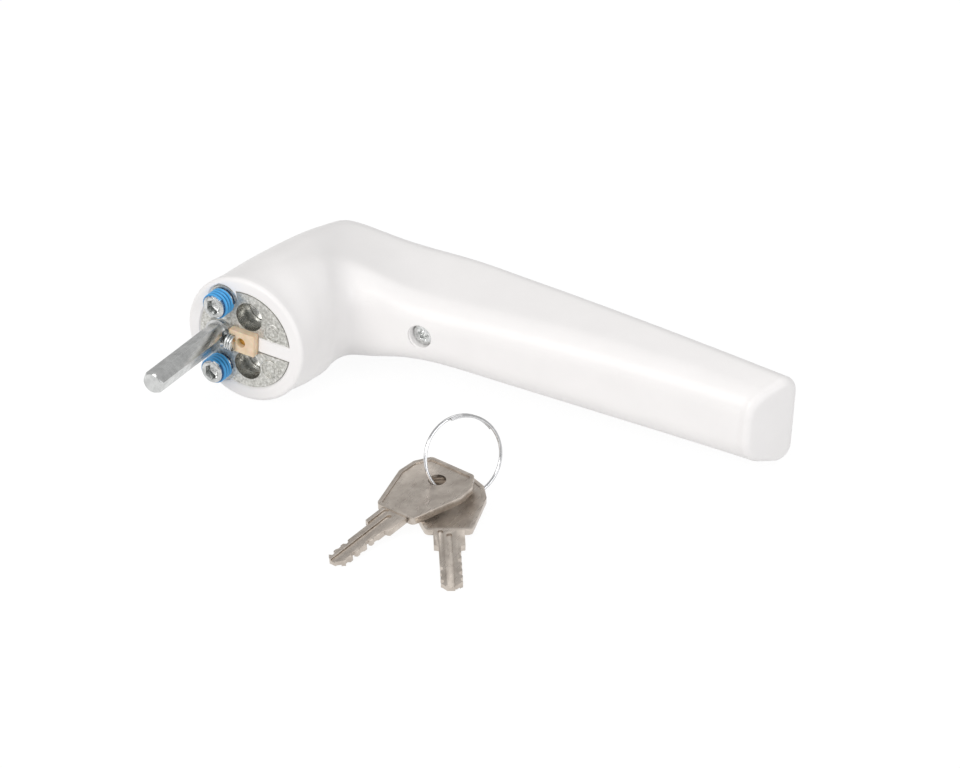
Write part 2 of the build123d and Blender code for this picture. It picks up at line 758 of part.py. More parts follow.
os.makedirs("parts", exist_ok=True)
for name, shape in handle_parts.items():
    export_step(Rot(0, rest_tilt, 0) * shape, f"parts/{name}.step")
for name, shape in loose_parts.items():
    export_step(shape, f"parts/{name}.step")
print("least gap between the pin spring's turns, mm:", round(least_gap(spring_path, spring_turns, spring_wire), 2))
print("least gap between the key ring's turns, mm:", round(least_gap(ring_path, ring_turns, ring_wire), 2))
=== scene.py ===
import json
import math

import bmesh
import bpy
import numpy as np
from mathutils import Matrix, Vector


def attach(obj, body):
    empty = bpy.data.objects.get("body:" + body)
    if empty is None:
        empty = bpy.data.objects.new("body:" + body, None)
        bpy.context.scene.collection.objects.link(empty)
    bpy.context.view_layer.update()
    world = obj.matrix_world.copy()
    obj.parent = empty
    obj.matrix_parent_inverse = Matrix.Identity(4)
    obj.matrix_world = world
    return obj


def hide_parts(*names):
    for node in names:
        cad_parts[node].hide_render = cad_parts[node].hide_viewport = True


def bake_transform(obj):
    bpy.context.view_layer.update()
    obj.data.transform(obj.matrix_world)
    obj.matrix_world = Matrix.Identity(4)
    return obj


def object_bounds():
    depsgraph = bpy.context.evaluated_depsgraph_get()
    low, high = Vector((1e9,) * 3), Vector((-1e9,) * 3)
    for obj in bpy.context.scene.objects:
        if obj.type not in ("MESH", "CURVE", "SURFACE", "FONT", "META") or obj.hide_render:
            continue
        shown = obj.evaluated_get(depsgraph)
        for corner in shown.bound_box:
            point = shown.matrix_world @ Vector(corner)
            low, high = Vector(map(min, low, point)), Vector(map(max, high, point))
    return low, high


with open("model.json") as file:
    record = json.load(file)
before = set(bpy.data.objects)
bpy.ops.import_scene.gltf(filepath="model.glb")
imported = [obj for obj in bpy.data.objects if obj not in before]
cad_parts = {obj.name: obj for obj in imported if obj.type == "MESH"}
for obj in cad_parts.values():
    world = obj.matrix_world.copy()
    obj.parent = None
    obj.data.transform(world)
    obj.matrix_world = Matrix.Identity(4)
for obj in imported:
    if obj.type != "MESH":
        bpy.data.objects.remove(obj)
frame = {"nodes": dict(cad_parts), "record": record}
cadLow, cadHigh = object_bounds()
mm = 0.001
hair = 1e-5  # metres; keeps two surfaces from lying in one plane
joinWithin = 1e-6  # metres; corners closer than this are one
print("frame loaded:", len(frame["nodes"]), "nodes")

# Sizes that several pieces share, in millimetres and degrees
handleSizes = {
    "baseRadius": 19.5, "neckOffset": 8.3, "leverReach": 149.8, "endLean": 8.3, "endHalf": 15.2,
    "stopCircle": 13.07, "stopAngle": 125.0,
}


# The handle lies on its base rim and its lever end
def restingTilt(v):
    return math.asin((v["baseRadius"] - v["endHalf"]) / (v["leverReach"] - v["endLean"] / 2))


restTilt = restingTilt(handleSizes)
tiltMatrix = Matrix.Rotation(restTilt, 4, "Y")


def newPiece(name, data):
    piece = bpy.data.objects.new(name, data)
    bpy.context.scene.collection.objects.link(piece)
    return piece


# Camera: the photograph's viewing angle, with the picture's axis a little beside its middle
cameraValues = {
    "target": (70.0, 24.0, 0.0), "azimuth": 29.93, "elevation": 30.36, "roll": 1.51, "distance": 1392.4,
    "lens": 184.69, "sensor": 36.0, "shiftAcross": 0.00635, "shiftUp": -0.02167, "near": 0.05, "far": 20.0,
}


def makeCamera(v):
    azimuth, elevation = math.radians(v["azimuth"]), math.radians(v["elevation"])
    level = Vector((math.sin(azimuth), -math.cos(azimuth), 0.0))
    back = level * math.cos(elevation) + Vector((0.0, 0.0, math.sin(elevation)))
    right = Vector((math.cos(azimuth), math.sin(azimuth), 0.0))
    turn = Matrix((right, back.cross(right), back)).transposed()
    turn = turn @ Matrix.Rotation(math.radians(v["roll"]), 3, "Z")
    data = bpy.data.cameras.new("photoCamera")
    data.lens, data.sensor_width = v["lens"], v["sensor"]
    data.shift_x, data.shift_y = v["shiftAcross"], v["shiftUp"]
    data.clip_start, data.clip_end = v["near"], v["far"]
    camera = newPiece("photoCamera", data)
    stand = (Vector(v["target"]) + back * v["distance"]) * mm
    camera.matrix_world = Matrix.Translation(stand) @ turn.to_4x4()
    bpy.context.scene.camera = camera


makeCamera(cameraValues)


# Node helpers
def linear(code):
    channels = [int(code[i:i + 2], 16) / 255 for i in (1, 3, 5)]
    return [c / 12.92 if c <= 0.04045 else ((c + 0.055) / 1.055) ** 2.4 for c in channels] + [1.0]


def addNode(tree, kind, inputs=None, **settings):
    node = tree.nodes.new(kind)
    for name, value in settings.items():
        setattr(node, name, value)
    for name, value in (inputs or {}).items():
        if isinstance(value, bpy.types.NodeSocket):
            tree.links.new(value, node.inputs[name])
        else:
            node.inputs[name].default_value = value
    return node


# What all finishes share; nearly all of a noise texture's values lie between low and high
textureValues = {
    "cloudDetail": 5.0, "cloudRough": 0.6, "fineDetail": 3.0, "fineRough": 0.55, "low": 0.3, "high": 0.7,
    "reliefStrength": 0.7,
}


# One finish: a cloudy base colour, a spread of roughness and a fine relief, in millimetres of the part
def makeFinish(name, v):
    shared = textureValues
    material = bpy.data.materials.new(name)
    material.use_nodes = True
    tree = material.node_tree
    shader = tree.nodes["Principled BSDF"]
    for socket, value in v["fixed"].items():
        shader.inputs[socket].default_value = value
    where = addNode(tree, "ShaderNodeTexCoord").outputs["Object"]
    drawn = addNode(tree, "ShaderNodeMapping", {"Vector": where, "Scale": v.get("stretch", (1, 1, 1))})
    cloud = addNode(tree, "ShaderNodeTexNoise", {
        "Vector": where, "Scale": 1 / (v["cloudSize"] * mm),
        "Detail": shared["cloudDetail"], "Roughness": shared["cloudRough"],
    })
    fine = addNode(tree, "ShaderNodeTexNoise", {
        "Vector": drawn.outputs["Vector"], "Scale": 1 / (v["fineSize"] * mm),
        "Detail": shared["fineDetail"], "Roughness": shared["fineRough"],
    })
    ramp = addNode(tree, "ShaderNodeValToRGB", {"Fac": cloud.outputs["Fac"]})
    while len(ramp.color_ramp.elements) < len(v["tones"]):
        ramp.color_ramp.elements.new(0.5)
    for element, (place, code) in zip(ramp.color_ramp.elements, v["tones"]):
        element.position, element.color = place, linear(code)
    low, high = v["roughness"]
    spread = addNode(tree, "ShaderNodeMapRange", {
        "Value": fine.outputs["Fac"], "From Min": shared["low"], "From Max": shared["high"],
        "To Min": low, "To Max": high,
    })
    relief = addNode(tree, "ShaderNodeBump", {
        "Height": fine.outputs["Fac"], "Distance": v["relief"] * mm, "Strength": shared["reliefStrength"],
    })
    tree.links.new(ramp.outputs["Color"], shader.inputs["Base Color"])
    tree.links.new(spread.outputs["Result"], shader.inputs["Roughness"])
    tree.links.new(relief.outputs["Normal"], shader.inputs["Normal"])
    return material


# Moulded ABS: clean glossy white over a slightly wavy skin
whiteShell = makeFinish("whiteGlossAbs", {
    "fixed": {"IOR": 1.5, "Specular IOR Level": 0.35, "Coat Weight": 0.08, "Coat Roughness": 0.12},
    "tones": [(0.3, "#F2F0EF"), (0.7, "#F5F3F2")], "cloudSize": 14.0,
    "roughness": (0.36, 0.42), "fineSize": 5.0, "relief": 0.002,
})
# Pressure die-cast zinc: dull grey, mottled like sand, with lighter rubbed grains
castZinc = makeFinish("dieCastZinc", {
    "fixed": {"Metallic": 0.8},
    "tones": [(0.30, "#A5A49E"), (0.46, "#C3C2BC"), (0.58, "#D9D8D3"), (0.72, "#F2F1ED")], "cloudSize": 0.8,
    "roughness": (0.36, 0.52), "fineSize": 0.7, "relief": 0.05,
})
# Bores cut into the casting: the same zinc, bright and smooth from the tool
boredZinc = makeFinish("boredZinc", {
    "fixed": {"Metallic": 1.0}, "stretch": (1, 4.0, 1),
    "tones": [(0.3, "#B9B8B3"), (0.7, "#DCDBD6")], "cloudSize": 1.6,
    "roughness": (0.16, 0.3), "fineSize": 0.9, "relief": 0.004,
})
# Drawn bar, zinc plated: cool bright grey with fine lines along its length
drawnSteel = makeFinish("zincPlatedSteelBar", {
    "fixed": {"Metallic": 1.0}, "stretch": (1, 0.03, 1),
    "tones": [(0.3, "#BFC0BF"), (0.7, "#DEDFDE")], "cloudSize": 2.5,
    "roughness": (0.16, 0.3), "fineSize": 0.25, "relief": 0.006,
})
# Turned and plated screws: brighter than the bar, with the tool's rings
screwSteel = makeFinish("platedScrewSteel", {
    "fixed": {"Metallic": 1.0},
    "tones": [(0.35, "#B9BBBA"), (0.65, "#E0E1E0")], "cloudSize": 1.2,
    "roughness": (0.16, 0.3), "fineSize": 0.3, "relief": 0.005,
})
# Head of the lever's screw: plated steel painted paler than the other screws, a painted brightness for the
# light it catches in its sink
paintedBrightHeadSteel = makeFinish("screwHeadPaintedBright", {
    "fixed": {"Metallic": 1.0},
    "tones": [(0.35, "#C9CBCA"), (0.65, "#EDEEED")], "cloudSize": 0.9,
    "roughness": (0.16, 0.28), "fineSize": 0.4, "relief": 0.004,
})
# Cap screws deep in their bores: turned heads painted brighter than the other screws, a painted highlight
# against the bores' shade
paintedBrightCapSteel = makeFinish("capScrewSteelPaintedBright", {
    "fixed": {"Metallic": 1.0},
    "tones": [(0.35, "#C4C6C5"), (0.65, "#ECEDEC")], "cloudSize": 1.0,
    "roughness": (0.18, 0.34), "fineSize": 0.3, "relief": 0.006,
})
# Lock barrel: satin chrome, even and smooth
lockChrome = makeFinish("satinChromeLock", {
    "fixed": {"Metallic": 1.0},
    "tones": [(0.3, "#BCBDBE"), (0.7, "#D6D7D8")], "cloudSize": 3.0,
    "roughness": (0.14, 0.22), "fineSize": 0.4, "relief": 0.003,
})
# Natural polyamide: warm cream, slightly see-through at its edges, satin from the mould
nylon = makeFinish("naturalNylon", {
    "fixed": {"IOR": 1.53, "Subsurface Weight": 0.25, "Subsurface Scale": 0.0015},
    "tones": [(0.3, "#DDC3A3"), (0.7, "#EAD6BB")], "cloudSize": 1.8,
    "roughness": (0.38, 0.5), "fineSize": 0.5, "relief": 0.01,
})
# Turned brass: yellow metal with fine turning marks, a little tarnished
brass = makeFinish("turnedBrass", {
    "fixed": {"Metallic": 1.0},
    "tones": [(0.3, "#BF9143"), (0.7, "#E3BF72")], "cloudSize": 0.8,
    "roughness": (0.18, 0.32), "fineSize": 0.2, "relief": 0.005,
})
# Nickel-plated, tumbled key blanks: warm grey, satin, with hairline scratches
keyNickel = makeFinish("nickelPlatedKey", {
    "fixed": {"Metallic": 1.0}, "stretch": (1, 0.08, 1),
    "tones": [(0.3, "#B8AEA4"), (0.7, "#D6CDC3")], "cloudSize": 3.5,
    "roughness": (0.24, 0.42), "fineSize": 0.5, "relief": 0.01,
})
# Hard-drawn spring wire: bright and almost mirror smooth
ringWire = makeFinish("brightSpringWire", {
    "fixed": {"Metallic": 1.0},
    "tones": [(0.3, "#C4C4C5"), (0.7, "#E0E0E1")], "cloudSize": 1.5,
    "roughness": (0.12, 0.2), "fineSize": 0.8, "relief": 0.001,
})

# Nylon thread patch: a satin blue coat over the screw's thread, ragged where it starts and ends, with a
# painted highlight on the thread's crests and painted shade in its valleys
patchValues = {
    "fixed": {"Metallic": 1.0}, "tones": [(0.35, "#B4B6B5"), (0.65, "#DCDDDC")], "cloudSize": 1.1,
    "roughness": (0.2, 0.34), "fineSize": 0.35, "relief": 0.01,
    # The first blue is lightened as a painted highlight for the crests; the second is darkened as painted
    # shade for the valleys
    "blue": "#4FB2F0", "paintedValleyShade": "#0E4C86", "coatRoughness": 0.3,
    "from": -5.15, "to": -0.25, "ragged": 0.5, "tearSize": 0.9, "edge": 0.15,
}


def makeThreadPatch(v):
    material = makeFinish("blueNylonThreadPatch", v)
    tree = material.node_tree
    shader = tree.nodes["Principled BSDF"]
    steel, satin = [shader.inputs[name].links[0].from_socket for name in ("Base Color", "Roughness")]
    where = addNode(tree, "ShaderNodeTexCoord").outputs["Object"]
    noise = addNode(tree, "ShaderNodeTexNoise", {
        "Vector": where, "Scale": 1 / (v["tearSize"] * mm), "Detail": textureValues["fineDetail"],
    })
    wander = addNode(tree, "ShaderNodeMapRange", {
        "Value": noise.outputs["Fac"], "To Min": -v["ragged"] * mm, "To Max": v["ragged"] * mm,
    })
    along = addNode(tree, "ShaderNodeSeparateXYZ", {"Vector": where})
    place = addNode(tree, "ShaderNodeMath", {
        0: along.outputs["Y"], 1: wander.outputs["Result"],
    }, operation="ADD")
    ends = []
    for level, before, after in ((v["from"], 0.0, 1.0), (v["to"], 1.0, 0.0)):
        ends.append(addNode(tree, "ShaderNodeMapRange", {
            "Value": place.outputs[0], "From Min": level * mm, "From Max": (level + v["edge"]) * mm,
            "To Min": before, "To Max": after,
        }).outputs["Result"])
    coat = addNode(tree, "ShaderNodeMath", {0: ends[0], 1: ends[1]}, operation="MULTIPLY").outputs[0]
    # Painted highlight and shade: lighter blue toward the thread's crests, darker painted shade toward its
    # roots
    crest = addNode(tree, "ShaderNodeAttribute", attribute_name="crest").outputs["Fac"]
    blue = addNode(tree, "ShaderNodeMix", {
        0: crest, 6: linear(v["paintedValleyShade"]), 7: linear(v["blue"]),
    }, data_type="RGBA")
    colour = addNode(tree, "ShaderNodeMix", {0: coat, 6: steel, 7: blue.outputs[2]}, data_type="RGBA")
    bare = addNode(tree, "ShaderNodeMath", {0: 1.0, 1: coat}, operation="SUBTRACT")
    rough = addNode(tree, "ShaderNodeMix", {0: coat, 2: satin, 3: v["coatRoughness"]})
    tree.links.new(colour.outputs[2], shader.inputs["Base Color"])
    tree.links.new(bare.outputs[0], shader.inputs["Metallic"])
    tree.links.new(rough.outputs[0], shader.inputs["Roughness"])
    return material


threadPatch = makeThreadPatch(patchValues)
print("materials made")

finishOfSlot = {
    "white_shell": whiteShell, "cast_zinc": castZinc, "bright_steel": drawnSteel,
    "locking_screw": threadPatch, "nylon": nylon, "brass": brass,
    "lock_metal": lockChrome, "nickel_key": keyNickel, "ring_steel": ringWire,
}
slotOfNode = {part["node"]: part["material_slot"] for part in frame["record"]["subparts"]}
bodies = frame["record"]["behaviour"]["bodies"]
bodyOfNode = {node: body for body, nodes in bodies.items() for node in nodes}
for name, node in frame["nodes"].items():
    node.data.materials.clear()
    node.data.materials.append(finishOfSlot[slotOfNode[name]])
# The cap screws take the steel painted bright against the bores' shade
for name in ("core_screw_upper", "core_screw_lower"):
    frame["nodes"][name].data.materials[0] = paintedBrightCapSteel


# A piece that stands for a node moves with the node's body, and the node is hidden
def standsFor(piece, node):
    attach(piece, bodyOfNode[node])
    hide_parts(node)


def smoothShaded(mesh, degrees=35.0):
    mesh.polygons.foreach_set("use_smooth", [True] * len(mesh.polygons))
    mesh.set_sharp_from_angle(angle=math.radians(degrees))


# Modifiers made part of the mesh
def applied(piece):
    data = bpy.data.meshes.new_from_object(piece.evaluated_get(bpy.context.evaluated_depsgraph_get()))
    piece.modifiers.clear()
    piece.data = data


# A node's loose triangles joined up, and its flat faces made whole below an angle in degrees
def mergedCopy(node, flatBelow=0.0):
    data = node.data.copy()
    mesh = bmesh.new()
    mesh.from_mesh(data)
    bmesh.ops.remove_doubles(mesh, verts=mesh.verts, dist=joinWithin)
    if flatBelow:
        angle = math.radians(flatBelow)
        bmesh.ops.dissolve_limit(mesh, angle_limit=angle, verts=mesh.verts, edges=mesh.edges)
    mesh.to_mesh(data)
    mesh.free()
    return data


# Edges sharper than an angle in degrees, broken to a width in millimetres
def brokenEdges(piece, width, segments, angle):
    bevel = piece.modifiers.new("brokenEdges", "BEVEL")
    bevel.width, bevel.segments = width * mm, segments
    bevel.limit_method, bevel.angle_limit = "ANGLE", math.radians(angle)
    applied(piece)


# Width of each node's broken edges in millimetres, as a tool or a mould leaves them
edgeBreaks = {
    "spindle": 0.35, "core_screw_upper": 0.25, "core_screw_lower": 0.25, "pin_guide": 0.22,
    "lock_pin": 0.2, "lock_housing": 0.15, "key_plug": 0.12, "neck_core": 0.15,
}


def softenedNode(name, width):
    piece = newPiece(name + "_finished", mergedCopy(frame["nodes"][name], flatBelow=1.0))
    brokenEdges(piece, width, segments=3, angle=40.0)
    smoothShaded(piece.data)
    standsFor(piece, name)
    return piece


finishedNodes = {name: softenedNode(name, width) for name, width in edgeBreaks.items()}
print("edges broken on", len(finishedNodes), "nodes")

# Bores of the casting: every steep face within reach of a cap screw's axis
boreValues = {"x": 9.6, "spread": 7.95, "reach": 4.5, "steep": 0.7}


def makeBores(mesh, v):
    mesh.materials.append(boredZinc)
    level = tiltMatrix.inverted()
    for polygon in mesh.polygons:
        centre = level @ polygon.center / mm
        normal = level.to_3x3() @ polygon.normal
        away = math.hypot(centre.x - v["x"], abs(centre.z) - v["spread"])
        if abs(normal.y) < v["steep"] and away < v["reach"]:
            polygon.material_index = 1


makeBores(finishedNodes["neck_core"].data, boreValues)


def makeSpring():
    spring = newPiece("pin_spring_coil", mergedCopy(frame["nodes"]["pin_spring"]))
    smoothShaded(spring.data)
    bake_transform(spring)
    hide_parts("pin_spring")


makeSpring()


# Shape helpers: angles in radians, points in millimetres
def mix(start, end, share):
    return start + (end - start) * share


def fullTurn(count):
    return [2 * math.pi * i / count for i in range(count)]


def quarterTurn(count):
    return [math.pi / 2 * i / count for i in range(count + 1)]


roundSides = 72


def circlePlan(centre, radius, count=48):
    return [(centre[0] + radius * math.cos(a), centre[1] + radius * math.sin(a)) for a in fullTurn(count)]


def circleRow(centre, y, radius):
    return np.array([(x, y, z) for x, z in circlePlan(centre, radius, roundSides)])


def arcPoints(centre, start, end, count):
    first, last = np.subtract(start, centre), np.subtract(end, centre)
    turn = math.atan2(first[0] * last[1] - first[1] * last[0], float(np.dot(first, last)))
    points = []
    for angle in [turn * i / count for i in range(count)]:
        across = first[0] * math.cos(angle) - first[1] * math.sin(angle)
        along = first[0] * math.sin(angle) + first[1] * math.cos(angle)
        points.append(np.add(centre, (across, along)))
    return points


# Arc that rounds a corner between two straight runs: its centre, start and end
def cornerArc(before, corner, after, radius):
    one, two = np.subtract(before, corner), np.subtract(after, corner)
    one, two = one / np.linalg.norm(one), two / np.linalg.norm(two)
    halfAngle = math.acos(float(np.clip(np.dot(one, two), -1, 1))) / 2
    middle = (one + two) / np.linalg.norm(one + two)
    reach = radius / math.tan(halfAngle)
    centre = np.add(corner, middle * radius / math.sin(halfAngle))
    return centre, np.add(corner, one * reach), np.add(corner, two * reach)


def addRows(mesh, rows, closeStart=True, closeEnd=True):
    loops = [[mesh.verts.new(Vector(point) * mm) for point in row] for row in rows]
    for one, two in zip(loops, loops[1:]):
        for i in range(len(one)):
            j = (i + 1) % len(one)
            mesh.faces.new((one[i], one[j], two[j], two[i]))
    if closeStart:
        mesh.faces.new(loops[0][::-1])
    if closeEnd:
        mesh.faces.new(loops[-1])
    return loops


def meshPiece(name, mesh, finish, tilted=True, degrees=35.0):
    bmesh.ops.recalc_face_normals(mesh, faces=mesh.faces)
    data = bpy.data.meshes.new(name)
    mesh.to_mesh(data)
    mesh.free()
    if tilted:
        data.transform(tiltMatrix)
    data.materials.append(finish)
    smoothShaded(data, degrees)
    return newPiece(name, data)


def rowsPiece(name, rows, finish, tilted=True, degrees=35.0):
    mesh = bmesh.new()
    addRows(mesh, rows)
    return meshPiece(name, mesh, finish, tilted, degrees)


# Solids added to a piece or cut from it, in the order given, and then thrown away
def combined(piece, changes):
    for kind, other in changes:
        change = piece.modifiers.new(other.name, "BOOLEAN")
        change.operation, change.solver, change.object = kind, "MANIFOLD", other
    applied(piece)
    for kind, other in changes:
        bpy.data.objects.remove(other)


# White shell: the handle's own section rule, smoother than the solid's facets and with moulded edges
shellValues = {
    **handleSizes,
    "neckInnerHeight": 22.0, "neckOuterHeight": 55.0, "neckInnerDraft": 1.1, "neckOuterDraft": 12.7,
    "neckOuterBend": 1.15, "neckHalfBend": 4, "neckTopHalf": 16.4, "neckTopRound": 13.6,
    "faceHeight": 60.6, "faceDrop": 5.6, "faceLead": 9.2, "shoulderRise": 0.75, "edgeRound": 5.0,
    "leverRoot": 51.0, "leverRootHeight": 32.0, "rootHalf": 14.5, "leverSections": 8, "endRound": 2.6,
    "backRise": 7.1, "backBend": 0.53, "backHalf": 10.0, "backSwell": 1.1, "backRound": 8.6,
    "leastFlat": 0.8, "leastRound": 1.0, "rows": 150, "wall": 3.2, "coreReach": 66.0, "rimRound": 1.3,
    "rimClear": 0.2, "plateRadius": 15.0, "plateDepth": 8.62, "webHalf": 2.4, "webStart": 4.4,
    "lobeRadius": 4.6, "mouthRound": 0.5,
    "lockOffset": 7.0, "lockMouth": 60.52, "lockFloor": 53.0, "lockRadius": 8.62, "lockFlare": 0.3,
    "screwPlace": 40.0, "screwSink": 3.4, "sinkRadius": 3.45, "sinkFlare": 0.35,
}
neckRoundShares, neckFlatShares = (0.0, 0.08), (0.36, 0.55, 0.78, 1.0)
# How far each section has gone from neck to lever, in this order: the inner edge's place and height,
# the outer edge's place, the half widths inside and outside, and the rounding inside and outside
elbowShares = [
    (0.04, 0.36, 0.045, 0.16, 0.53, 0.52, 0.19),
    (0.17, 0.60, 0.16, 0.34, 0.84, 1.0, 0.38),
    (0.48, 0.76, 0.47, 0.80, 1.0, 1.0, 0.59),
]
flatSteps, arcSteps = 8, 10
flatHalf = 14.0  # degrees of the round base that match half a flat of the sections above it
rimSteps, endSteps, mouthSteps, holeSteps = 6, 7, 4, 5
webSteps, shortSteps, longSteps = 4, 24, 30
cutterPast = 6.0  # a cutter reaches this far past the surface it opens


def faceAt(v, place):
    return v["faceHeight"] - v["faceDrop"] * (place / v["leverReach"]) ** 2


def backAt(v, place):
    share = (place - v["leverRoot"]) / (v["leverReach"] - v["endLean"] - v["leverRoot"])
    return v["leverRootHeight"] + v["backRise"] * share * (1 + v["backBend"] - v["backBend"] * share)


# A station holds its inner and outer edge, the half width at each and the rounding at each
def neckStation(v, share):
    inner = (v["baseRadius"] - v["neckInnerDraft"] * share, v["neckInnerHeight"] * share)
    lean = v["neckOuterDraft"] * share ** v["neckOuterBend"]
    outer = (lean - v["baseRadius"], v["neckOuterHeight"] * share)
    half = v["baseRadius"] - (v["baseRadius"] - v["neckTopHalf"]) * share ** v["neckHalfBend"]
    rounding = v["baseRadius"] - (v["baseRadius"] - v["neckTopRound"]) * share
    return inner, outer, half, half, rounding - share, rounding


def leverStation(v, share):
    innerPlace = mix(v["leverRoot"], v["leverReach"] - v["endLean"], share)
    outerPlace = mix(v["leverRoot"] - v["faceLead"], v["leverReach"], share)
    halfIn = v["backHalf"] + 4 * v["backSwell"] * share * (1 - share)
    halfOut = mix(v["rootHalf"], v["endHalf"], share)
    inner, outer = (innerPlace, backAt(v, innerPlace)), (outerPlace, faceAt(v, outerPlace))
    return inner, outer, halfIn, halfOut, min(v["backRound"], halfIn - v["leastFlat"]), v["edgeRound"]


def elbowStation(v, shares):
    top, root = neckStation(v, 1.0), leverStation(v, 0.0)
    outerPlace = mix(top[1][0], root[1][0], shares[2])
    outerHeight = faceAt(v, outerPlace)
    if shares is elbowShares[0]:
        outerHeight = mix(top[1][1], v["faceHeight"], v["shoulderRise"])
    inner = (mix(top[0][0], root[0][0], shares[0]), mix(top[0][1], root[0][1], shares[1]))
    sizes = [mix(top[i], root[i], shares[i + 1]) for i in (2, 3, 4, 5)]
    return (inner, (outerPlace, outerHeight), *sizes)


def roundPoints(length, inset):
    radius = length / 2 - inset
    turns = []
    for facing in (180.0, 90.0, 0.0, -90.0):
        turns += [mix(facing + flatHalf, facing - flatHalf, i / flatSteps) for i in range(flatSteps)]
        turns += [mix(facing - flatHalf, facing + flatHalf - 90.0, i / arcSteps) for i in range(arcSteps)]
    angles = [math.radians(turn) for turn in turns]
    return [(length / 2 + radius * math.cos(a), -radius * math.sin(a)) for a in angles]


def corneredPoints(v, length, sizes, inset):
    low, high = sizes[0] - inset, sizes[1] - inset
    roundings = [max(size - inset, v["leastRound"]) for size in (sizes[2], sizes[2], sizes[3], sizes[3])]
    corners = [(inset, low), (inset, -low), (length - inset, -high), (length - inset, high)]
    arcs = [cornerArc(corners[i - 1], corners[i], corners[(i + 1) % 4], roundings[i]) for i in range(4)]
    points = []
    for i in range(4):
        arc = arcs[(i + 1) % 4]
        points += [mix(arcs[i][2], arc[1], step / flatSteps) for step in range(flatSteps)]
        points += arcPoints(*arc, arcSteps)
    return points


def sectionAt(v, station, inset, isRound=False):
    inner, outer = np.array(station[0]), np.array(station[1])
    length = float(np.linalg.norm(outer - inner))
    points = roundPoints(length, inset) if isRound else corneredPoints(v, length, station[2:], inset)
    along = (outer - inner) / length
    start = inner + (v["neckOffset"], 0.0)
    return np.array([(*(start + along * run), height) for run, height in points])


# Natural cubic through the stations, one track for each point of the section
def splineRows(tracks, wanted):
    gaps = np.linalg.norm(np.diff(tracks, axis=0), axis=2).mean(axis=1)
    knots = np.concatenate(([0.0], np.cumsum(gaps)))
    count = len(knots)
    system, right = np.zeros((count, count)), np.zeros((count,) + tracks.shape[1:])
    system[0, 0] = system[-1, -1] = 1.0
    for i in range(1, count - 1):
        system[i, i - 1:i + 2] = gaps[i - 1], 2 * (gaps[i - 1] + gaps[i]), gaps[i]
        right[i] = 6 * ((tracks[i + 1] - tracks[i]) / gaps[i] - (tracks[i] - tracks[i - 1]) / gaps[i - 1])
    bend = np.linalg.solve(system, right.reshape(count, -1)).reshape(right.shape)
    rows = []
    for place in np.linspace(0, knots[-1], wanted):
        i = min(int(np.searchsorted(knots, place, side="right")) - 1, count - 2)
        left, rest, gap = place - knots[i], knots[i + 1] - place, gaps[i]
        start, end = tracks[i] / gap - bend[i] * gap / 6, tracks[i + 1] / gap - bend[i + 1] * gap / 6
        rows.append((bend[i] * rest ** 3 + bend[i + 1] * left ** 3) / (6 * gap) + start * rest + end * left)
    return rows


# Share of the lever at which its end begins to round
def capShare(v):
    return 1 - v["endRound"] / (v["leverReach"] - v["leverRoot"])


def formRows(v, inset):
    leverShares = [capShare(v) * i / v["leverSections"] for i in range(v["leverSections"] + 1)]
    tracks = [sectionAt(v, neckStation(v, share), inset, isRound=True) for share in neckRoundShares]
    tracks += [sectionAt(v, neckStation(v, share), inset) for share in neckFlatShares]
    tracks += [sectionAt(v, elbowStation(v, shares), inset) for shares in elbowShares]
    tracks += [sectionAt(v, leverStation(v, share), inset) for share in leverShares]
    return splineRows(np.array(tracks), v["rows"])


# Rows of the outside, from a rounded rim to a rounded lever end
def outerRows(v):
    rows, rim, size = formRows(v, 0.0), v["rimRound"], v["endRound"]
    first = next(i for i, row in enumerate(rows) if row[:, 1].min() > rim + v["rimClear"])
    foot = []
    for low, high in zip(rows[0], rows[first]):
        foot.append(mix(low, high, float(np.interp(rim, [low[1], high[1]], [0, 1]))))
    foot = np.array(foot)
    foot[:, 1] = rim
    inward = np.array([v["neckOffset"], rim, 0.0]) - foot
    inward /= np.linalg.norm(inward, axis=1)[:, None]
    down = np.array([0.0, -rim, 0.0])
    turns = quarterTurn(rimSteps)[::-1]
    rounded = [foot + inward * rim * (1 - math.cos(a)) + down * math.sin(a) for a in turns]
    station = leverStation(v, capShare(v))
    run = np.subtract(station[1], station[0])
    outward = np.array([run[1], -run[0], 0.0]) / np.linalg.norm(run) * size
    caps = []
    for angle in quarterTurn(endSteps)[1:]:
        caps.append(sectionAt(v, station, size * (1 - math.cos(angle))) + outward * math.sin(angle))
    return rounded + rows[first:] + caps


# Mouth of the plate's pocket: a disc with a lobe round each stop screw and a web between its halves
def pocketOutline(v, grow):
    disc, lobe = v["plateRadius"] + grow, v["lobeRadius"] + grow
    half, start = v["webHalf"] - grow, v["webStart"] + grow
    away, side = v["stopCircle"], v["stopAngle"]
    onDisc = math.degrees(math.acos((disc ** 2 + away ** 2 - lobe ** 2) / (2 * disc * away)))
    onLobe = math.degrees(math.acos((lobe ** 2 + away ** 2 - disc ** 2) / (2 * lobe * away)))
    edge = math.degrees(math.asin(half / disc))

    def arc(centre, radius, first, last, count):
        angles = [math.radians(mix(first, last, i / count)) for i in range(count)]
        return [(centre[0] + radius * math.cos(a), centre[1] + radius * math.sin(a)) for a in angles]

    reach = math.sqrt(disc ** 2 - half ** 2)
    shares = [i / webSteps for i in range(webSteps)]
    points = [(mix(start, reach, share), half) for share in shares]
    points += arc((0, 0), disc, edge, side - onDisc, shortSteps)
    for turn, last in ((side, 360 - side - onDisc), (360 - side, 360 - edge)):
        centre = (away * math.cos(math.radians(turn)), away * math.sin(math.radians(turn)))
        points += arc(centre, lobe, turn - onLobe, turn + onLobe, shortSteps)
        points += arc((0, 0), disc, turn + onDisc, last, longSteps)
    points += [(mix(reach, start, share), -half) for share in shares]
    points += [(start, mix(-half, half, share)) for share in shares]
    return points


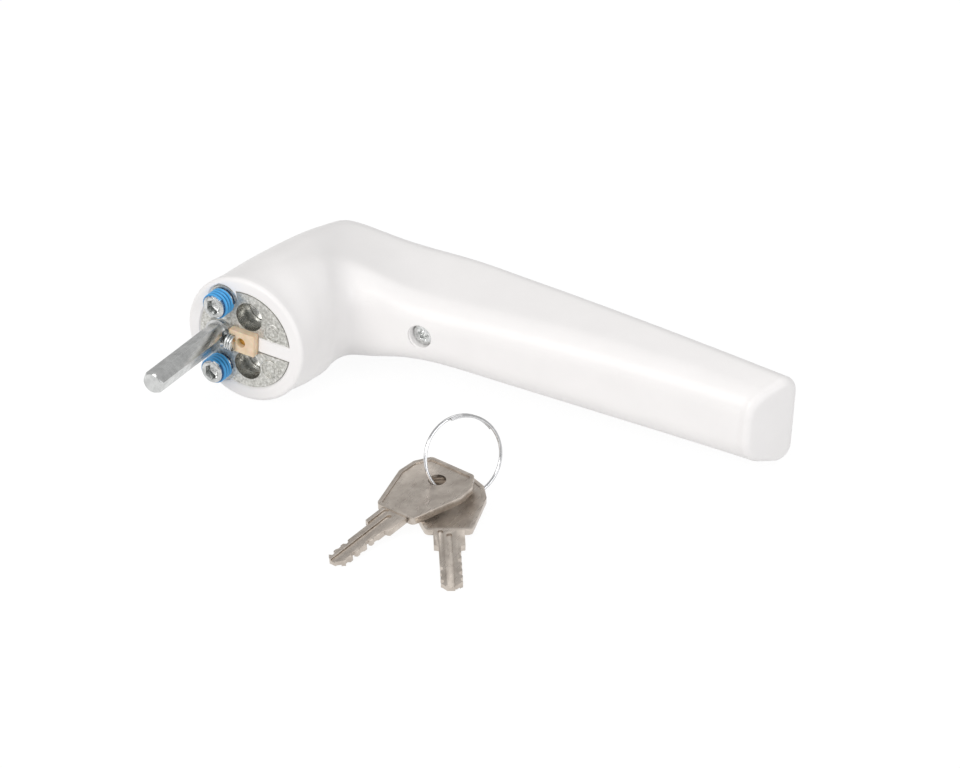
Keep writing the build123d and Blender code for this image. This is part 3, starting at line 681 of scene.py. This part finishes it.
# Rows of a round cutter along Y whose mouth flares out in a quarter circle
def flaredHole(x, mouth, depth, radius, flare, outward):
    levels = [(mouth + outward * cutterPast, radius + flare)]
    for angle in quarterTurn(holeSteps):
        levels.append((mouth - outward * flare * math.sin(angle), radius + flare * (1 - math.sin(angle))))
    levels.append((depth, radius))
    return [circleRow((x, 0.0), y, size) for y, size in levels]


def backLevel(v, place):
    middle = np.array([row[flatSteps // 2] for row in formRows(v, 0.0)])
    return float(np.interp(v["neckOffset"] + place, middle[:, 0], middle[:, 1]))


# Outside and pocket, joined round the rim
def shellBlank(v):
    mesh = bmesh.new()
    outside = addRows(mesh, outerRows(v), closeStart=False)
    flare = v["mouthRound"]
    levels = [(flare * math.sin(a), flare * (1 - math.sin(a))) for a in quarterTurn(mouthSteps)]
    levels.append((v["plateDepth"], 0.0))
    rows = [[(v["neckOffset"] + x, y, z) for x, z in pocketOutline(v, grow)] for y, grow in levels]
    inside = addRows(mesh, rows, closeStart=False)
    rim = []
    for loop in (outside[0], inside[0]):
        rim += [mesh.edges.get((loop[i - 1], loop[i])) for i in range(len(loop))]
    bmesh.ops.triangle_fill(mesh, edges=rim, use_beauty=True, normal=(0, -1, 0))
    return meshPiece("handle_shell_moulded", mesh, whiteShell, tilted=False)


# Room for the castings, from the pocket's floor to their end inside the lever
def hollowCutter(v):
    mesh = bmesh.new()
    addRows(mesh, formRows(v, v["wall"]))
    floor, end = (0, v["plateDepth"] * mm - hair, 0), ((v["neckOffset"] + v["coreReach"]) * mm, 0, 0)
    for point, facing in ((floor, (0, -1, 0)), (end, (1, 0, 0))):
        whole = mesh.verts[:] + mesh.edges[:] + mesh.faces[:]
        cut = bmesh.ops.bisect_plane(mesh, geom=whole, plane_co=point, plane_no=facing, clear_outer=True)
        edges = [e for e in cut["geom_cut"] if isinstance(e, bmesh.types.BMEdge)]
        bmesh.ops.holes_fill(mesh, edges=edges, sides=0)
    return meshPiece("hollow", mesh, whiteShell, tilted=False)


def makeShell(v):
    shell = shellBlank(v)
    lockX, screwX = v["neckOffset"] + v["lockOffset"], v["neckOffset"] + v["screwPlace"]
    lockRows = flaredHole(lockX, v["lockMouth"], v["lockFloor"], v["lockRadius"], v["lockFlare"], 1.0)
    mouth = backLevel(v, v["screwPlace"])
    sinkRows = flaredHole(screwX, mouth, mouth + v["screwSink"], v["sinkRadius"], v["sinkFlare"], -1.0)
    combined(shell, [
        ("DIFFERENCE", hollowCutter(v)),
        ("DIFFERENCE", rowsPiece("lockHole", lockRows, whiteShell, tilted=False)),
        ("DIFFERENCE", rowsPiece("screwSink", sinkRows, whiteShell, tilted=False)),
    ])
    shell.data.transform(tiltMatrix)
    for vertex in shell.data.vertices:
        vertex.co.z = max(vertex.co.z, cadLow.z + hair)  # the rim's lowest line stays on the table
    shell.data.materials.clear()
    shell.data.materials.append(whiteShell)
    smoothShaded(shell.data, degrees=38.0)
    standsFor(shell, "handle_shell")
    print("shell:", len(shell.data.polygons), "faces")


makeShell(shellValues)

# A wire wound about its axis by Geometry Nodes; a flat, wide section makes a screw's thread
woundSockets = [
    ("Turns", "NodeSocketFloat"), ("Radius", "NodeSocketFloat"), ("Height", "NodeSocketFloat"),
    ("Out", "NodeSocketFloat"), ("Along", "NodeSocketFloat"), ("Fade", "NodeSocketFloat"),
    ("Place", "NodeSocketVector"), ("Facing", "NodeSocketVector"),
]
windingSteps, sectionSides = 64, 14
fadedTo = 0.35  # size of the section where the thread runs out
paintedHighlightFrom = 0.2  # share of the thread's height at which the painted highlight begins to lighten the blue


def woundTree(name, v, finish):
    tree = bpy.data.node_groups.new(name, "GeometryNodeTree")
    for label, kind in woundSockets:
        tree.interface.new_socket(label, in_out="INPUT", socket_type=kind)
    tree.interface.new_socket("Geometry", in_out="OUTPUT", socket_type="NodeSocketGeometry")
    chosen = addNode(tree, "NodeGroupInput").outputs
    path = addNode(tree, "GeometryNodeCurveSpiral", {
        "Resolution": windingSteps, "Rotations": chosen["Turns"], "Start Radius": chosen["Radius"],
        "End Radius": chosen["Radius"], "Height": chosen["Height"],
    })
    along = addNode(tree, "GeometryNodeSplineParameter").outputs["Factor"]
    fading = addNode(tree, "ShaderNodeMapRange", {
        "Value": along, "From Min": chosen["Fade"], "From Max": 1.0, "To Min": 1.0, "To Max": fadedTo,
    })
    faded = addNode(tree, "GeometryNodeSetCurveRadius", {
        "Curve": path.outputs["Curve"], "Radius": fading.outputs["Result"],
    })
    upright = addNode(tree, "GeometryNodeSetCurveNormal", {"Curve": faded.outputs["Curve"]}, mode="Z_UP")
    circle = addNode(tree, "GeometryNodeCurvePrimitiveCircle", {"Resolution": sectionSides, "Radius": mm})
    spread = addNode(tree, "ShaderNodeCombineXYZ", {"X": chosen["Out"], "Y": chosen["Along"], "Z": 1.0})
    section = addNode(tree, "GeometryNodeTransform", {
        "Geometry": circle.outputs["Curve"], "Scale": spread.outputs["Vector"],
    })
    tube = addNode(tree, "GeometryNodeCurveToMesh", {
        "Curve": upright.outputs["Curve"], "Profile Curve": section.outputs["Geometry"], "Fill Caps": True,
    })
    position = addNode(tree, "GeometryNodeInputPosition").outputs["Position"]
    apart = addNode(tree, "ShaderNodeSeparateXYZ", {"Vector": position}).outputs
    flat = addNode(tree, "ShaderNodeCombineXYZ", {"X": apart["X"], "Y": apart["Y"]}).outputs["Vector"]
    reach = addNode(tree, "ShaderNodeVectorMath", {0: flat}, operation="LENGTH").outputs["Value"]
    # Share of the way out from root to crest, stored as crest: it drives the painted highlight on the crests
    # and the painted shade in the valleys
    height = addNode(tree, "ShaderNodeMapRange", {
        "Value": reach, "From Min": (v["radius"] + paintedHighlightFrom * v["out"]) * mm,
        "From Max": (v["radius"] + v["out"]) * mm,
    })
    marked = addNode(tree, "GeometryNodeStoreNamedAttribute", {
        "Geometry": tube.outputs["Mesh"], "Name": "crest", "Value": height.outputs["Result"],
    })
    laid = addNode(tree, "GeometryNodeTransform", {
        "Geometry": marked.outputs["Geometry"], "Translation": chosen["Place"], "Rotation": chosen["Facing"],
    })
    real = addNode(tree, "GeometryNodeRealizeInstances", {"Geometry": laid.outputs["Geometry"]})
    finished = addNode(tree, "GeometryNodeSetMaterial", {
        "Geometry": real.outputs["Geometry"], "Material": finish,
    })
    addNode(tree, "NodeGroupOutput", {"Geometry": finished.outputs["Geometry"]})
    return tree


def makeWound(name, v, finish, node):
    piece = newPiece(name, bpy.data.meshes.new(name))
    change = piece.modifiers.new("wound", "NODES")
    change.node_group = woundTree(name, v, finish)
    given = {
        "Turns": v["turns"], "Radius": v["radius"] * mm, "Height": v["height"] * mm, "Out": v["out"],
        "Along": v["along"], "Fade": 1 - v["fade"], "Place": [c * mm for c in v["place"]],
        "Facing": [math.radians(a) for a in v["facing"]],
    }
    for socket in change.node_group.interface.items_tree:
        if socket.in_out == "INPUT":
            change[socket.identifier] = given[socket.name]
    applied(piece)
    piece.data.transform(tiltMatrix)
    smoothShaded(piece.data, degrees=50.0)
    standsFor(piece, node)


# Thread wound on a screw's core, its root a little inside the core
def makeThread(name, v, length, place, facing, finish, node):
    root = v["coreRadius"] - v["rootSink"]
    makeWound(name, {
        "turns": length / v["pitch"], "radius": root, "height": length, "out": v["crest"] - root,
        "along": v["pitch"] * v["crestShare"], "fade": v["fade"], "place": place, "facing": facing,
    }, finish, node)


# Stop screws: a bare chamfered end with a hexagon socket, then a coated thread down to the plate
stopValues = {
    "tip": -5.3, "tipRadius": 2.95, "tipBreak": (0.12, 0.1), "collar": -5.0, "collarRadius": 3.4,
    "collarRun": 0.5, "coreRadius": 3.3, "footRadius": 3.85, "footStart": 0.2, "footStep": 0.1,
    "foot": 8.0, "footBreak": 0.3, "across": 4.0, "socketBreak": 0.18, "socketFloor": -2.9,
    "drillPoint": (0.9, 0.3),
    "pitch": 1.25, "crest": 3.97, "crestShare": 0.47, "rootSink": 0.05, "fade": 0.1,
    "threadFrom": -4.72, "threadTo": 0.1,
}


def hexRow(centre, y, across):
    row = []
    for angle in fullTurn(roundSides):
        reach = across / 2 / math.cos((angle + math.pi / 6) % (math.pi / 3) - math.pi / 6)
        row.append((centre[0] + reach * math.cos(angle), y, centre[1] + reach * math.sin(angle)))
    return np.array(row)


def makeStopScrew(name, v, side):
    angle = math.radians(handleSizes["stopAngle"])
    away = handleSizes["stopCircle"]
    centre = (handleSizes["neckOffset"] + away * math.cos(angle), side * away * math.sin(angle))
    outside = [
        (v["foot"], v["footRadius"] - v["footBreak"]), (v["foot"] - v["footBreak"], v["footRadius"]),
        (v["footStart"], v["footRadius"]), (v["footStart"] - v["footStep"], v["coreRadius"]),
        (v["collar"] + v["collarRun"], v["coreRadius"]), (v["collar"], v["collarRadius"]),
        (v["tip"] + v["tipBreak"][0], v["tipRadius"] + v["tipBreak"][1]), (v["tip"], v["tipRadius"]),
    ]
    rows = [circleRow(centre, y, radius) for y, radius in outside]
    rows.append(hexRow(centre, v["tip"], v["across"] + 2 * v["socketBreak"]))
    rows.append(hexRow(centre, v["tip"] + v["socketBreak"], v["across"]))
    rows.append(hexRow(centre, v["socketFloor"], v["across"]))
    rows.append(circleRow(centre, v["socketFloor"] + v["drillPoint"][0], v["drillPoint"][1]))
    standsFor(rowsPiece(name + "_body", rows, screwSteel, degrees=30.0), name)
    length, place = v["threadTo"] - v["threadFrom"], (centre[0], v["threadTo"], centre[1])
    makeThread(name + "_thread", v, length, place, (90, 0, 0), threadPatch, name)


for name, side in (("stop_screw_upper", 1), ("stop_screw_lower", -1)):
    makeStopScrew(name, stopValues, side)
print("stop screws threaded")

# Screw in the lever's back: a flat head painted bright, with a six-lobed recess, sunk in the shell
headValues = {
    "radius": 3.25, "sink": 1.85, "thick": 1.4, "edge": 0.3, "edgeSlope": 0.3, "lobe": 1.5, "swing": 0.34,
    "recess": [(0.0, 1.08), (0.1, 1.0), (1.3, 0.95)],  # depth, and size of the recess there
}


def starRow(centre, y, v, share):
    points = []
    for angle in fullTurn(roundSides):
        reach = share * (v["lobe"] + v["swing"] * math.cos(6 * angle))
        points.append((centre[0] + reach * math.cos(angle), y, centre[1] + reach * math.sin(angle)))
    return np.array(points)


def makeBodyScrew(v):
    centre = (shellValues["neckOffset"] + shellValues["screwPlace"], 0.0)
    face = backLevel(shellValues, shellValues["screwPlace"]) + v["sink"]
    radius, edge, slope = v["radius"], v["edge"], v["edge"] * v["edgeSlope"]
    outside = [(v["thick"], radius), (edge, radius), (slope, radius - slope), (0.0, radius - edge)]
    rows = [circleRow(centre, face + depth, size) for depth, size in outside]
    rows += [starRow(centre, face + depth, v, share) for depth, share in v["recess"]]
    standsFor(rowsPiece("body_screw_head", rows, paintedBrightHeadSteel, degrees=30.0), "body_screw")


makeBodyScrew(headValues)

# Clamp screw beside the spindle: a short threaded pin with a cupped end
clampValues = {
    "start": 3.45, "length": 3.1, "level": -2.0, "drop": -0.5, "coreRadius": 2.3, "endBreak": (0.2, 0.3),
    "shoulder": (0.1, 0.25), "cup": 1.5, "cupEdge": (0.1, 0.3), "cupFloor": (0.6, 0.2),
    "pitch": 0.8, "crest": 2.72, "crestShare": 0.45, "rootSink": 0.05, "fade": 0.1,
    "from": 4.3, "threadStop": 0.3,
}


def makeClampScrew(v):
    end, core, cup = v["start"] + v["length"], v["coreRadius"], v["cup"]
    outside = [
        (end, core - v["endBreak"][1]), (end - v["endBreak"][0], core), (v["from"], core),
        (v["from"] - v["shoulder"][0], core + v["shoulder"][1]),
        (v["start"] + v["cupEdge"][0], cup + v["cupEdge"][1]), (v["start"], cup),
        (v["start"] + v["cupFloor"][0], v["cupFloor"][1]),
    ]
    rows = [[(x, y, z) for y, z in circlePlan((v["level"], v["drop"]), radius)] for x, radius in outside]
    standsFor(rowsPiece("clamp_screw_body", rows, screwSteel), "spindle_clamp_screw")
    length, place = end - v["threadStop"] - v["from"], (v["from"], v["level"], v["drop"])
    makeThread("clamp_screw_thread", v, length, place, (0, 90, 0), screwSteel, "spindle_clamp_screw")


makeClampScrew(clampValues)

# Round marks left by the mould's ejector pins on the plate
markValues = {
    "level": 0.1,
    "marks": [  # place across and up, radius, thickness of the raised ring
        (17.6, 5.35, 2.65, 0.26), (17.6, 5.35, 1.5, 0.18), (17.0, -6.9, 2.8, 0.26), (17.0, -6.9, 1.5, 0.18),
        (3.0, 4.6, 0.9, 0.16),
    ],
    "around": 48, "section": 10,
}


def makeMarks(v):
    mesh = bmesh.new()
    around, section, level = v["around"], v["section"], v["level"]
    for x, z, radius, thick in v["marks"]:
        ring = circlePlan((radius, 0.0), thick, section)
        loops = []
        for a in fullTurn(around):
            points = [(x + run * math.cos(a), level + rise, z + run * math.sin(a)) for run, rise in ring]
            loops.append([mesh.verts.new(Vector(point) * mm) for point in points])
        for i in range(around):
            for j in range(section):
                mesh.faces.new((loops[i - 1][j - 1], loops[i - 1][j], loops[i][j], loops[i][j - 1]))
    marks = meshPiece("cast_marks", mesh, castZinc)
    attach(marks, "handle")


makeMarks(markValues)
print("lever screw, clamp screw and cast marks made")

# Keys: bow with a raised border and a hole, stepped neck, grooved blade with its cuts
keyValues = {
    "half": 0.9, "bow": [(26.3, 6.4), (41.72, 11.0), (47.5, 10.5), (52.0, 7.5)], "bowRound": 1.6,
    "rim": 1.15, "rimRound": 0.6, "panel": 0.25, "hole": (44.9, 2.5), "edge": 0.16,
    "bladeBelow": 0.02, "bowBelow": 0.001,  # keep the faces of blade and bow out of one plane
    "neck": (18.6, 4.3), "neckStep": 0.4, "neckEnd": 28.0, "blade": 3.0, "tip": [(0.0, 1.3), (1.5, 2.6)],
    "tipEnd": 1.7, "cutRun": (0.95, 0.5), "cutPlaces": [14.8, 11.8, 8.8, 5.8, 2.8],
    "cutsRight": [0.45, 1.0, 0.35, 0.9, 0.6], "cutsLeft": [0.0, 0.0, 0.75, 0.35, 0.85],
    "grooves": [  # start, end, place across, width, side, depth
        (-1.0, 26.2, 2.35, 1.5, 1, 0.6), (-1.0, 24.6, 0.0, 1.5, 1, 0.62), (-1.0, 25.0, -1.5, 1.3, -1, 0.5),
    ],
    "grooveRunOut": 0.6,
    "cutterEnds": {"panel": 4.0, "hole": 3.0, "groove": 1.0},  # from the key's middle plane
    "keys": [  # node, place of the hole in plan, heading, lift of the hole, height of the upper border
        ("key_1", (82.75, -16.7), 81.9, 4.9, 1.22),
        ("key_2", (85.8, -16.75), 123.0, 1.95, 0.9),
    ],
}


def insetCorners(corners, by):
    moved = []
    for i, corner in enumerate(corners):
        lines = []
        for start, end in ((corners[i - 1], corner), (corner, corners[(i + 1) % len(corners)])):
            run = np.subtract(end, start) / np.linalg.norm(np.subtract(end, start))
            lines.append((np.add(start, np.array([-run[1], run[0]]) * by), run))
        (a, runA), (b, runB) = lines
        share = np.linalg.solve(np.array([runA, -runB]).T, b - a)[0]
        moved.append(tuple(a + runA * share))
    return moved


def roundedCorners(corners, radius, steps=6):
    points = []
    for i, corner in enumerate(corners):
        arc = cornerArc(corners[i - 1], corner, corners[(i + 1) % len(corners)], radius)
        points += arcPoints(*arc, steps) + [arc[2]]
    return points


def slabPiece(name, outline, low, high):
    return rowsPiece(name, [[(x, y, z) for x, y in outline] for z in (low, high)], keyNickel, tilted=False)


def bladeOutline(v):
    neckStart, neckHalf = v["neck"]
    top, floorEnd = v["cutRun"]
    sides = []
    for sign, depths in ((-1, v["cutsRight"]), (1, v["cutsLeft"])):
        side = v["tip"] + [(v["tipEnd"], v["blade"])]
        for place, depth in sorted(zip(v["cutPlaces"], depths)):
            if depth:
                floor = v["blade"] - depth
                side += [(place - top, v["blade"]), (place - floorEnd, floor)]
                side += [(place + floorEnd, floor), (place + top, v["blade"])]
        side += [(neckStart, v["blade"]), (neckStart + v["neckStep"], neckHalf), (v["neckEnd"], neckHalf)]
        sides.append([(x, sign * y) for x, y in side])
    return sides[0] + sides[1][::-1]


def grooveCutter(v, start, end, middle, width, side, depth):
    shoulder, half, nose = end - v["grooveRunOut"], width / 2, width / 4
    outline = [
        (start, middle - half), (shoulder, middle - half), (end, middle - nose),
        (end, middle + nose), (shoulder, middle + half), (start, middle + half),
    ]
    floor, outside = side * (v["half"] - depth), side * v["cutterEnds"]["groove"]
    return slabPiece("groove", outline, min(floor, outside), max(floor, outside))


def makeKey(v, name, place, heading, lift, border):
    half, panel = v["half"], v["half"] - v["panel"]
    panelEnd, holeEnd = v["cutterEnds"]["panel"], v["cutterEnds"]["hole"]
    corners = [(x, -y) for x, y in v["bow"]] + [(x, y) for x, y in v["bow"][::-1]]
    inner = roundedCorners(insetCorners(corners, v["rim"]), v["bowRound"] * v["rimRound"])
    holeX, holeRadius = v["hole"]
    key = slabPiece(name + "_blank", bladeOutline(v), -half, half - v["bladeBelow"])
    changes = [("DIFFERENCE", grooveCutter(v, *groove)) for groove in v["grooves"]]
    bow = slabPiece("bow", roundedCorners(corners, v["bowRound"]), -half - v["bowBelow"], border)
    changes.append(("UNION", bow))
    changes.append(("DIFFERENCE", slabPiece("panelUp", inner, panel, panelEnd)))
    changes.append(("DIFFERENCE", slabPiece("panelDown", inner, -panelEnd, -panel)))
    hole = circlePlan((holeX, 0.0), holeRadius)
    changes.append(("DIFFERENCE", slabPiece("hole", hole, -holeEnd, holeEnd)))
    combined(key, changes)
    brokenEdges(key, v["edge"], segments=2, angle=38.0)
    slope = math.asin(lift / holeX)  # the key's tip lies on the table and the ring holds its hole up
    table = -(shellValues["neckOffset"] * math.sin(restTilt) + shellValues["baseRadius"])
    level = table + lift + half * math.cos(slope)
    placed = Matrix.Translation(Vector((place[0], place[1], level)) * mm)
    placed = placed @ Matrix.Rotation(math.radians(heading), 4, "Z") @ Matrix.Rotation(-slope, 4, "Y")
    key.data.transform(placed @ Matrix.Translation((-holeX * mm, 0, 0)))
    smoothShaded(key.data, degrees=30.0)
    standsFor(key, name)
    print(name, "made with", len(key.data.polygons), "faces")


for entry in keyValues["keys"]:
    makeKey(keyValues, *entry)

# Floor, backdrop and light: places and sizes in metres, power in watts
stageValues = {
    "floorSize": 8.0, "floorColour": "#E4E4E4", "floorGlow": 0.93, "floorShade": "#5A5A5A",
    "skyStrength": 0.56,
    "lamps": [  # name, place, aimed at, size, power, colour
        ("overheadSoftbox", (0.2, 0.35, 1.3), (0.07, 0.02, 0.0), 0.9, 2.3, "#FFFFFF"),
        ("frontSoftbox", (-0.25, -1.25, 0.75), (0.07, 0.0, 0.0), 0.9, 9.0, "#FFFDFC"),
        ("rightFill", (1.3, -0.5, 0.45), (0.1, 0.0, 0.0), 0.8, 4.2, "#FBFCFF"),
    ],
}


# The floor glows white to the camera and in reflections, keeps shadows, and lights the object as plain paper
def floorFinish(v):
    material = bpy.data.materials.new("paleStudioFloor")
    material.use_nodes = True
    tree = material.node_tree
    tree.nodes.remove(tree.nodes["Principled BSDF"])
    path = addNode(tree, "ShaderNodeLightPath").outputs
    seen = path["Is Camera Ray"]
    for kind in ("Is Glossy Ray", "Is Transmission Ray"):
        seen = addNode(tree, "ShaderNodeMath", {0: seen, 1: path[kind]}, operation="MAXIMUM").outputs[0]
    plain = addNode(tree, "ShaderNodeBsdfDiffuse", {"Color": linear(v["floorColour"])})
    glow = addNode(tree, "ShaderNodeEmission", {"Color": linear("#FFFFFF"), "Strength": v["floorGlow"]})
    shade = addNode(tree, "ShaderNodeBsdfDiffuse", {"Color": linear(v["floorShade"])})
    shown = addNode(tree, "ShaderNodeAddShader", {0: glow.outputs[0], 1: shade.outputs[0]})
    mixed = addNode(tree, "ShaderNodeMixShader", {0: seen, 1: plain.outputs[0], 2: shown.outputs[0]})
    tree.links.new(mixed.outputs[0], tree.nodes["Material Output"].inputs["Surface"])
    return material


def makeFloor(v):
    half, low = v["floorSize"] / 2, cadLow.z
    mesh = bpy.data.meshes.new("studioFloor")
    corners = [(-half, -half, low), (half, -half, low), (half, half, low), (-half, half, low)]
    mesh.from_pydata(corners, [], [(0, 1, 2, 3)])
    mesh.materials.append(floorFinish(v))
    newPiece("studioFloor", mesh)


def makeSky(v):
    world = bpy.data.worlds.new("paleStudio")
    bpy.context.scene.world = world
    world.use_nodes = True
    tree = world.node_tree
    path = addNode(tree, "ShaderNodeLightPath").outputs
    strength = addNode(tree, "ShaderNodeMapRange", {
        "Value": path["Is Camera Ray"], "To Min": v["skyStrength"], "To Max": 1.0,
    })
    background = tree.nodes["Background"].inputs
    tree.links.new(strength.outputs["Result"], background["Strength"])
    background["Color"].default_value = linear("#FFFFFF")


def makeLamps(v):
    for name, place, aim, size, power, code in v["lamps"]:
        data = bpy.data.lights.new(name, "AREA")
        data.shape, data.size, data.energy = "DISK", size, power
        data.color = linear(code)[:3]
        lamp = newPiece(name, data)
        lamp.location = place
        lamp.rotation_euler = (Vector(aim) - Vector(place)).to_track_quat("-Z", "Y").to_euler()


makeFloor(stageValues)
makeSky(stageValues)
makeLamps(stageValues)
bpy.context.scene.view_settings.view_transform = "Standard"
print("stage and lights made")
